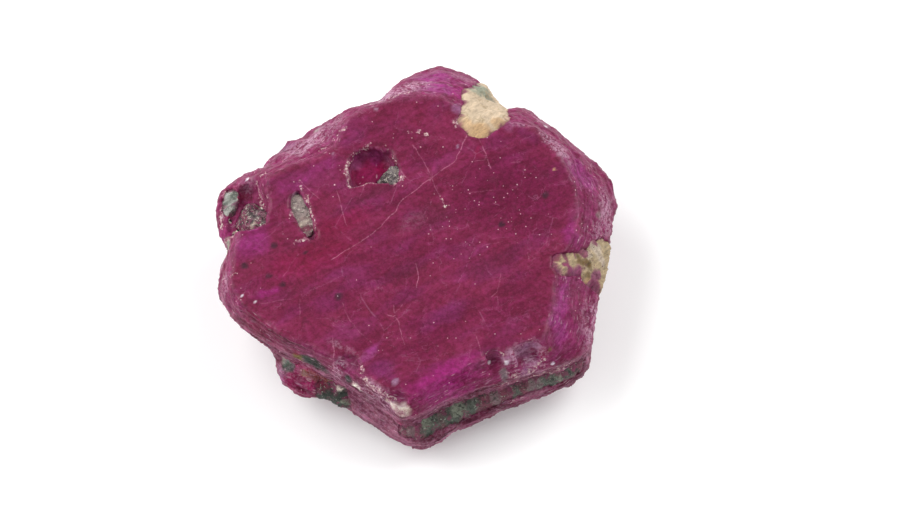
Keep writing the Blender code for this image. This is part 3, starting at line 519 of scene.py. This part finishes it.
def ball(points, x, y, z, radius):
    """1 in the middle of a ball, falling to 0 at its surface."""
    return ramp(np.linalg.norm(points - (x, y, z), axis=1) / radius, 1.0, 0.5)


def blend(tint, name, share):
    """Moves the tint of each point that share of the way to the named colour."""
    tint += (colour(name) - tint) * share[:, None]


# Meshes

def new_object(name, data):
    """An object in the scene with that mesh, light or camera."""
    obj = bpy.data.objects.new(name, data)
    bpy.context.scene.collection.objects.link(obj)
    return obj


def fine_copy(node, name, voxel):
    """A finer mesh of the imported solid, as an object of its own."""
    obj = new_object(name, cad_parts[node].data.copy())
    remesh = obj.modifiers.new("fine", "REMESH")
    remesh.mode = "VOXEL"
    remesh.voxel_size = voxel * MM
    graph = bpy.context.evaluated_depsgraph_get()
    mesh = bpy.data.meshes.new_from_object(obj.evaluated_get(graph))
    obj.modifiers.clear()
    obj.data = mesh
    mesh.name = name
    mesh.materials.clear()
    mesh.polygons.foreach_set("use_smooth", [True] * len(mesh.polygons))
    return obj


def points_of(mesh):
    """The mesh's points, in mm."""
    co = np.zeros(len(mesh.vertices) * 3)
    mesh.vertices.foreach_get("co", co)
    return co.reshape(-1, 3) / MM


def normals_of(mesh):
    """The direction that the surface looks in at each point."""
    co = np.zeros(len(mesh.vertices) * 3, np.float32)
    mesh.vertex_normals.foreach_get("vector", co)
    return co.reshape(-1, 3).astype(float)


def set_points(mesh, points):
    """Moves the mesh's points to these places, in mm."""
    mesh.vertices.foreach_set("co", (points * MM).ravel())
    mesh.update()


def set_attributes(mesh, **attributes):
    """Keeps numbers or colours for each point of the mesh, for its material to read."""
    for name, values in attributes.items():
        if values.ndim == 1:
            layer = mesh.attributes.new(name, "FLOAT", "POINT").data
            layer.foreach_set("value", values.astype(np.float32))
        else:
            layer = mesh.attributes.new(name, "FLOAT_COLOR", "POINT").data
            rows = np.column_stack([values, np.ones(len(values))])
            layer.foreach_set("color", rows.astype(np.float32).ravel())


# Materials

def add(tree, kind, inputs=None, **settings):
    """Adds a node with its settings. An input gets a value, an output, or the first output in use of a node."""
    node = tree.nodes.new("ShaderNode" + kind)
    for key, value in settings.items():
        setattr(node, key, value)
    for key, value in (inputs or {}).items():
        if isinstance(value, bpy.types.Node):
            value = next(output for output in value.outputs if output.enabled)
        if isinstance(value, bpy.types.NodeSocket):
            tree.links.new(value, node.inputs[key])
        else:
            node.inputs[key].default_value = value
    return node


def new_material(name):
    """An empty material and its nodes."""
    material = bpy.data.materials.new(name)
    material.use_nodes = True
    material.node_tree.nodes.clear()
    return material, material.node_tree


def show(tree, look):
    """Gives the material its surface, with that look."""
    add(tree, "OutputMaterial", {"Surface": add(tree, "BsdfPrincipled", look)})


def faded(tree, share, *fades):
    """The share multiplied by each fade: what it follows, where it starts and ends, and its share at both."""
    for value, low, high, start, end in fades:
        fade = add(tree, "MapRange", {
            "Value": value, "From Min": low, "From Max": high, "To Min": start, "To Max": end,
        })
        share = add(tree, "Math", {0: share, 1: fade}, operation="MULTIPLY")
    return share


def laid_over(tree, ground, layers):
    """The ground with each layer laid over it: its share and its colour."""
    for share, over in layers:
        if isinstance(over, str):
            over = solid(over)
        ground = add(tree, "Mix", {SHARE: share, UNDER: ground, OVER: over}, data_type="RGBA")
    return ground


def ruby_patterns(tree, place, rim):
    """The noise patterns by name, and fibres that run along the rim all round it."""
    laid = {"fibres": (rim, *FIBRES)}
    for name, (turn, reach, *grain) in PATTERNS.items():
        at = add(tree, "Mapping", {
            "Vector": place, "Rotation": (0, 0, math.radians(turn)), "Scale": Vector(reach) * MM,
        }, vector_type="TEXTURE")
        laid[name] = (at, *grain)
    return {
        name: add(tree, "TexNoise", {
            "Vector": vector, "Scale": 1.0, "Detail": detail, "Roughness": roughness, "Distortion": distortion,
        })
        for name, (vector, detail, roughness, distortion) in laid.items()
    }


def toned(tree, tint, patterns, parts):
    """The tint multiplied by each tone on the part where it shows."""
    low, high = PATTERN_SPAN
    for name, part, dark, light in TONES:
        tone = add(tree, "MapRange", {
            "Vector": patterns[name], LOW: (low,) * 3, HIGH: (high,) * 3, DARK: dark, LIGHT: light,
        }, data_type="FLOAT_VECTOR")
        tint = add(tree, "Mix", {
            SHARE: parts[part] if part else 1.0, UNDER: tint, OVER: tone,
        }, data_type="RGBA", blend_type="MULTIPLY")
    return tint


def crack_layers(tree, place, patterns, parts):
    """Healed cracks: thin pale lines where the signed distance crosses nought, and a net of fainter ones."""
    apart = add(tree, "Math", {0: parts["crack_side"]}, operation="ABSOLUTE")
    crack = faded(tree, parts["crack_plain"], (apart, *CRACK_WIDTH), (parts["crack_near"], *CRACK_REACH),
                  (patterns["grain"], *CRACK_WEAR))
    bend = add(tree, "VectorMath", {0: patterns["clouds"], "Scale": NET_BEND * MM}, operation="SCALE")
    bent = add(tree, "VectorMath", {0: place, 1: bend}, operation="ADD")
    net = add(tree, "TexVoronoi", {"Vector": bent, "Scale": 1 / (NET_CELL * MM)}, feature="DISTANCE_TO_EDGE")
    line = faded(tree, 1.0, (net, *NET_WIDTH), (patterns["streaks"], *NET_PATCHES))
    return [(crack, CRACK_PINK), (line, NET_PINK)]


def frost_layer(tree, patterns, frost):
    """Pale, powdery ground, broken up by layers and by fine speckle."""
    ground = add(tree, "Math", {0: patterns["speckle"], 1: patterns["layers"]}, operation="ADD")
    return faded(tree, frost, (ground, *FROST_PATCHES)), FROST_LILAC


def mark(tree, place, scale, chosen, core, edge, share):
    """A mark in the middle of each chosen cell of a Voronoi pattern."""
    cells = add(tree, "TexVoronoi", {"Vector": place, "Scale": scale})
    picked = add(tree, "Math", {0: cells.outputs["Color"], 1: chosen}, operation="LESS_THAN")
    return faded(tree, picked, (cells, core, edge, share, 0.0))


def flake_layers(tree, rim, patterns, broken):
    """Edges of broken layers: short strokes along the rim, pale or dark."""
    share = faded(tree, broken, (patterns["clouds"], *FLAKE_PATCHES))
    return [(mark(tree, rim, scale, chosen, 0.5 * edge, edge, share), code)
            for scale, chosen, edge, code in FLAKES]


def dust_layers(tree, place, patterns, dust):
    """Pale specks, more of them where there is more dust."""
    share = faded(tree, 1.0, (patterns["clouds"], *DUST_PATCHES))
    return [(mark(tree, place, 1 / (cell * MM), dust, core, edge, share), DUST_PINK)
            for cell, edge, core in DUST]


def crust_layer(tree, patterns, far):
    """Pale crust inside a ragged edge."""
    for name, pull in CRUST_RAGGED.items():
        far = add(tree, "Math", {0: patterns[name], 1: pull, 2: far}, operation="MULTIPLY_ADD")
    steps = [(faded(tree, 1.0, (patterns["speckle"], low, high, 0.0, 1.0)), code)
             for low, high, code in CRUST_STEPS]
    return faded(tree, 1.0, (far, *CRUST_EDGE)), laid_over(tree, solid(CRUST_DARK), steps)


def crumb_layer(tree, place, patterns, crumbs):
    """A mass of dark and pale crumbs, each of one colour."""
    cells = add(tree, "TexVoronoi", {"Vector": place, "Scale": 1 / (CRUMB_SIZE * MM)}).outputs["Color"]
    steps = [(add(tree, "Math", {0: cells, 1: start}, operation="GREATER_THAN"), code)
             for start, code in CRUMB_STEPS]
    ragged = add(tree, "Math", {0: crumbs, 1: patterns["grain"]}, operation="ADD")
    return faded(tree, 1.0, (ragged, *CRUMB_EDGE)), laid_over(tree, solid(CRUMB_DARK), steps)


def corundum():
    """Cloudy ruby, with grown faces that are etched and worn. Light goes a little way in and comes out red, and
    the flat face has a waxy shine, while bevels and sides are duller."""
    material, tree = new_material("cloudy_ruby_corundum")
    place = add(tree, "TexCoord").outputs["Object"]
    rim = add(tree, "Attribute", attribute_name="rim").outputs["Vector"]
    tint = add(tree, "Attribute", attribute_name="tint").outputs["Color"]
    parts = {
        name: add(tree, "Attribute", attribute_name=name).outputs["Fac"]
        for name in ("face", "bevel", "side", "frost", "crust_far", "crumbs", "dust", "flakes", "crack_near",
                     "crack_side", "crack_plain")
    }
    patterns = ruby_patterns(tree, place, rim)
    tint = laid_over(tree, toned(tree, tint, patterns, parts), [
        *crack_layers(tree, place, patterns, parts),
        frost_layer(tree, patterns, parts["frost"]),
        *flake_layers(tree, rim, patterns, parts["flakes"]),
        *dust_layers(tree, place, patterns, parts["dust"]),
        crust_layer(tree, patterns, parts["crust_far"]),
        crumb_layer(tree, place, patterns, parts["crumbs"]),
    ])
    shine, gloss, depth = (
        add(tree, "MapRange", {"Value": parts["face"], "To Min": broken, "To Max": flat})
        for broken, flat in (RUBY_ROUGHNESS, RUBY_SPECULAR, RUBY_BUMPS)
    )
    bumps = add(tree, "Math", {0: patterns["grain"], 1: patterns["brushed"]}, operation="ADD")
    show(tree, {
        "Base Color": tint, "Roughness": shine, "IOR": CORUNDUM_IOR, "Specular IOR Level": gloss,
        "Normal": add(tree, "Bump", {"Height": bumps, "Strength": depth, "Distance": RUBY_BUMP_HEIGHT * MM}),
        "Subsurface Weight": GLOW_SHARE, "Subsurface Radius": GLOW_REACH, "Subsurface Scale": GLOW_DEPTH * MM,
    })
    return material


def crumbly_rock(name, reach, tones, flecks):
    """A broken rock grain, dull and matt, mottled between two tones, with flecks of other colours."""
    material, tree = new_material(name)
    place = add(tree, "TexCoord").outputs["Object"]
    tint = add(tree, "Attribute", attribute_name="tint").outputs["Color"]
    laid = add(tree, "Mapping", {
        "Vector": place, "Rotation": MOTTLE_TURN, "Scale": Vector(reach) * MM,
    }, vector_type="TEXTURE")
    mottle = add(tree, "TexNoise", {
        "Vector": laid, "Scale": 1.0, "Detail": 6.0, "Roughness": 0.75, "Distortion": 0.8,
    })
    tone = faded(tree, 1.0, (mottle, *PATTERN_SPAN, *tones))
    tint = add(tree, "VectorMath", {0: tint, "Scale": tone}, operation="SCALE")
    layers = []
    for cell, low, high, code in flecks:
        fleck = add(tree, "TexNoise", {
            "Vector": place, "Scale": 1 / (cell * MM), "Detail": 3.0, "Roughness": 0.7, "Distortion": 1.0,
        })
        layers.append((faded(tree, 1.0, (fleck, low, high, 0.0, FLECK_SHARE)), code))
    show(tree, {
        "Base Color": laid_over(tree, tint, layers), "Roughness": ROCK_ROUGHNESS,
        "Normal": add(tree, "Bump", {"Height": mottle, "Strength": 1.0, "Distance": ROCK_BUMP_HEIGHT * MM}),
    })
    return material


# The ruby

def surface_shares(points, normals):
    """Which part of the surface each point is on: shares for face, pocket, bevel, side, and the flat base."""
    xy, z = points[:, :2], points[:, 2]
    depth = FACE_HEIGHT + FACE_TILT * points[:, 1] - z
    edge = crack_distances(xy, [FACE_EDGE + FACE_EDGE[:1]])[0]
    signed = np.where(inside(xy, FACE_EDGE), edge, -edge)
    face = ramp(depth, *FACE_DEPTH) * ramp(signed, *FACE_BORDER) * ramp(normals[:, 2], *FACE_UPWARD)
    base = ramp(z, *BASE_HEIGHT)
    high = ramp(z, *UPPER_HEIGHT)
    pocket = ramp(depth, *POCKET_DEPTH) * ramp(signed, *POCKET_BORDER) * high
    bevel = (1 - face) * (1 - pocket) * high * ramp(normals[:, 2], *BEVEL_UPWARD)
    side = (1 - face) * (1 - pocket) * (1 - bevel) * (1 - base)
    angle = np.arctan2(xy[:, 1], xy[:, 0])
    reach = RIM_RADIUS / RIM_GRAIN[0]
    across = (signed - 1.3 * depth) / RIM_GRAIN[1]
    rim = np.column_stack([across, reach * np.cos(angle), reach * np.sin(angle)])
    return face, pocket, bevel, side, base, rim


def ruby_relief(points, bevel, side, base, face, crust, crumbs):
    """How far each point moves out along its normal."""
    z = points[:, 2]
    broken = BIG_CHIPS[0] * chips(points, BIG_CHIPS[1]) + SMALL_CHIPS[0] * chips(points, SMALL_CHIPS[1], 9.0)
    broken += GRIT[0] * rough(points, GRIT[1], 3)
    level = z + 0.35 * wander(points, 3.0, 4.0) + 0.08 * wander(points, 0.7, 8.0)
    ledge = np.abs((level / LAYER_HEIGHT) % 1.0 - 0.35) * LAYER_STEP - 0.05
    flat = FACE_WAVES[0] * rough(points, FACE_WAVES[1], 3, 2.0)
    shift = flat * face + (0.8 * bevel + 0.7 * side) * broken + (side + 0.2 * bevel) * ledge
    shift += CRUST_RELIEF * crust * (0.6 + 0.8 * wander(points, 0.35, 6.0))
    shift += CRUMB_RELIEF * crumbs * chips(points, CRUMB_WIDTH, 15.0)
    return np.where(base > 0, np.minimum(shift * (1 - base), z * 0.3), shift)


def ruby_tint(points, face, pocket, bevel, side):
    """The tint of each point, with painted highlights at the glints, before the streaks and the finer marks
    that the material adds.
    """
    xy = points[:, :2]
    tint = np.tile(colour("crimson"), (len(points), 1))
    streaks = np.column_stack([turned(xy, STREAK_TURN), points[:, 2]]) / STREAK_REACH
    blend(tint, "wine", 0.5 * ramp(rough(streaks, 1.0, 2), -0.25, 0.35))
    blend(tint, "purple", 0.35 * ramp(rough(streaks, 1.0, 2, 20.0), 0.0, 0.5))
    blend(tint, "rose", 0.7 * bevel)
    blend(tint, "dusty", 0.55 * side)
    blend(tint, "mauve", 0.7 * pocket)
    # The side is darker towards its lower edge
    blend(tint, "shade", 0.7 * side * ramp(points[:, 2], FOOT_DARKENING[1], FOOT_DARKENING[0]))
    bend = 0.45 * drift(points, 1.3, (30.0, 40.0, 50.0), 2)
    bent = points + bend
    fine = 0.16 * drift(points, 0.5, (60.0, 70.0, 80.0), 2)
    top = ramp(points[:, 2], *TOP_HEIGHT) * (1 - 0.8 * pocket)
    for *place, name, share in TOP_PATCHES:
        blend(tint, name, share * top * oval(bent[:, :2], *place))
    for x, y, radius, name in TOP_SPOTS:
        close = np.hypot(*(xy + (0.2 * bend + 0.6 * fine)[:, :2] - (x, y)).T)
        blend(tint, name, 0.85 * top * ramp(close, radius, 0.55 * radius))
    for *place, name, share in SIDE_PATCHES:
        blend(tint, name, share * (1 - face) * ball(points + 0.2 * bend + fine, *place))
    # Painted highlights: the tint goes most of the way to white at each glint
    for place in PAINTED_GLINTS:
        tint += (PAINTED_GLINT_WHITE - tint) * ball(points + 0.1 * bend, *place)[:, None]
    return tint


def ruby_cracks(points):
    """For each point: distance to the nearest crack, the same signed by side, and how plain the crack is."""
    wobble = 0.12 * drift(points, 0.9, (11.0, 13.0)) + 0.05 * drift(points, 0.3, (21.0, 23.0))
    plainness, lines = zip(*CRACKS)
    near, across, which = crack_distances(points[:, :2] + wobble, lines)
    plain = np.array(plainness)[which] * (0.8 + 0.8 * wander(points, 0.8, 17.0))
    return near, across, np.clip(plain, 0, 1)


def shape_ruby(obj):
    """Gives the ruby its relief, and what its material reads at each point."""
    mesh = obj.data
    points, normals = points_of(mesh), normals_of(mesh)
    face, pocket, bevel, side, base, rim = surface_shares(points, normals)
    xy = points[:, :2]
    high = ramp(points[:, 2], *FROST_HEIGHT)

    jag = 0.16 * drift(points, 0.45, (11.0, 13.0, 15.0))
    far = np.full(len(points), 1.0)
    for half, line in CRUSTS:
        far = np.minimum(far, crust_distance(points + jag, half, line))
    frost = 0.07 * bevel + 0.28 * side * ramp(points[:, 2], *PALE_SIDE_HEIGHT)
    for *place, share in TOP_FROST:
        frost = np.maximum(frost, share * high * oval(xy + 2 * jag[:, :2], *place))
    crumbs = np.zeros(len(points))
    for place in CRUMBS:
        crumbs = np.maximum(crumbs, (1 - face) * ball(points, *place))
    near, across, plain = ruby_cracks(points)
    dust = 0.16 * face + 0.28 * face * oval(xy, *DUSTY_OVAL) + 0.3 * bevel + 0.25 * side
    flakes = 0.38 * bevel + 0.55 * side + 0.5 * pocket + 0.5 * frost

    tint = ruby_tint(points, face, pocket, bevel, side)
    shift = ruby_relief(points, bevel, side, base, face, ramp(far, 0.05, -0.1), crumbs)
    set_points(mesh, points + normals * shift[:, None])
    set_attributes(
        mesh, tint=tint, face=face, bevel=bevel, side=side, rim=rim, frost=frost, crust_far=far, crumbs=crumbs,
        dust=dust, flakes=flakes, crack_near=near, crack_side=across, crack_plain=plain,
    )


def close_gap(points, ruby_tree):
    """Moves a grain's sides onto the wall of its socket, where it grew, and gives the gaps too."""
    moved, gaps = points.copy(), np.full(len(points), FAR)
    for i, point in enumerate(points):
        place = Vector(point * MM)
        found, _, _, gap = ruby_tree.find_nearest(place, 2 * GRAIN_GAP * MM)
        if found is None:
            continue
        gaps[i] = gap / MM
        moved[i] += (np.array(found) / MM - point) * (1 + GRAIN_OVERLAP / max(gaps[i], 0.1))
    share = ramp(gaps, 1.4 * GRAIN_GAP, 0.8 * GRAIN_GAP)
    return points + (moved - points) * share[:, None], gaps


def shape_grain(obj, ruby_tree, size, depth, main, overgrown, swell, patches):
    """Closes the gap round a grain, roughens it, and tints it with the ruby growing over its edge."""
    mesh = obj.data
    points, normals = points_of(mesh), normals_of(mesh)
    moved, gaps = close_gap(points, ruby_tree)
    relief = depth * (0.6 * chips(points, size) + 0.5 * rough(points, 0.6 * size, 3))
    relief += swell * ramp(gaps, 0.8 * GRAIN_GAP, 1.6 * GRAIN_GAP)
    set_points(mesh, moved + normals * relief[:, None])
    tint = np.tile(colour(main), (len(points), 1))
    jag = 0.25 * drift(points, 0.5, (1.0, 2.0, 3.0))
    for *place, name, share in patches:
        blend(tint, name, share * ball(points + jag, *place))
    edge = gaps - SOCKET_GAP - overgrown * (1 + 1.6 * rough(points, 0.6, 2, 5.0))
    blend(tint, "plum", 0.9 * ramp(edge, 0.06, -0.04))
    set_attributes(mesh, tint=tint)


def build_object():
    """The nine fine pieces, each standing for its solid."""
    ruby = fine_copy("ruby_crystal", "ruby", RUBY_VOXEL)
    shape_ruby(ruby)
    ruby.data.materials.append(corundum())
    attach(ruby, "root")
    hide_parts("ruby_crystal")
    ruby_tree = BVHTree.FromPolygons(
        [v.co for v in ruby.data.vertices], [list(p.vertices) for p in ruby.data.polygons]
    )
    rocks = {name: (slot, crumbly_rock(name, *look)) for name, (slot, *look) in ROCKS.items()}
    for node, (rock, *look) in GRAINS.items():
        grain = fine_copy(node, node + "_fine", GRAIN_VOXEL)
        shape_grain(grain, ruby_tree, *look)
        slot, material = rocks[rock]
        grain.data.materials.append(material)
        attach(grain, "root")
        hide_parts(node)


# Room

def floor():
    """White acrylic, cast matt, so that it shows only a soft shadow, which light from below makes paler."""
    mesh = bpy.data.meshes.new("floor")
    corners = [(-1, -1), (1, -1), (1, 1), (-1, 1)]
    mesh.from_pydata([(FLOOR_HALF * x, FLOOR_HALF * y, 0) for x, y in corners], [], [(0, 1, 2, 3)])
    material, tree = new_material("white_acrylic_lit_from_below")
    show(tree, {
        "Base Color": solid(FLOOR_WHITE), "Roughness": FLOOR_ROUGHNESS,
        "Emission Color": solid(WHITE), "Emission Strength": FLOOR_GLOW,
    })
    mesh.materials.append(material)
    new_object("floor", mesh)


def softbox(name, place, size, power):
    """A square area light at that place, in mm, facing the crystal."""
    light = bpy.data.lights.new(name, "AREA")
    light.size = size * MM
    light.energy = power
    obj = new_object(name, light)
    obj.location = Vector(place) * MM
    obj.rotation_euler = (-Vector(place)).to_track_quat("-Z", "Y").to_euler()


def light_tent():
    """Soft light from all round, but less from a panel and an opening."""
    world = bpy.data.worlds.new("light_tent")
    world.use_nodes = True
    tree = world.node_tree
    towards = add(tree, "TexCoord").outputs["Generated"]
    light = 1.0
    for direction, (low, high), (start, end) in TENT_LIGHT:
        near = add(tree, "VectorMath", {0: towards, 1: direction}, operation="DOT_PRODUCT")
        change = add(tree, "MapRange", {
            "Value": near, "From Min": low, "From Max": high, "To Min": start, "To Max": end,
        }, interpolation_type="SMOOTHSTEP")
        light = add(tree, "Math", {0: light, 1: change}, operation="MULTIPLY")
    background = tree.nodes["Background"].inputs
    tree.links.new(light.outputs[0], background["Strength"])
    background["Color"].default_value = solid(WHITE)
    bpy.context.scene.world = world


def studio():
    """Pale floor, two softboxes and the light tent."""
    floor()
    for name, (place, size, power) in SOFTBOXES.items():
        softbox(name, place, size, power)
    light_tent()
    bpy.context.scene.view_settings.view_transform = "Standard"


def camera():
    """Looks down from the front, from far off, as in the photo."""
    data = bpy.data.cameras.new("camera")
    data.sensor_width = CAMERA_SENSOR
    data.lens = CAMERA_LENS
    data.clip_start = 0.01
    data.clip_end = 20.0
    obj = new_object("camera", data)
    elevation = math.radians(CAMERA_ELEVATION)
    back = Vector((0, -math.cos(elevation), math.sin(elevation)))
    obj.location = (Vector(CAMERA_TARGET) + CAMERA_DISTANCE * back) * MM
    obj.rotation_euler = (math.pi / 2 - elevation, 0, 0)
    bpy.context.scene.camera = obj


build_object()
studio()
camera()
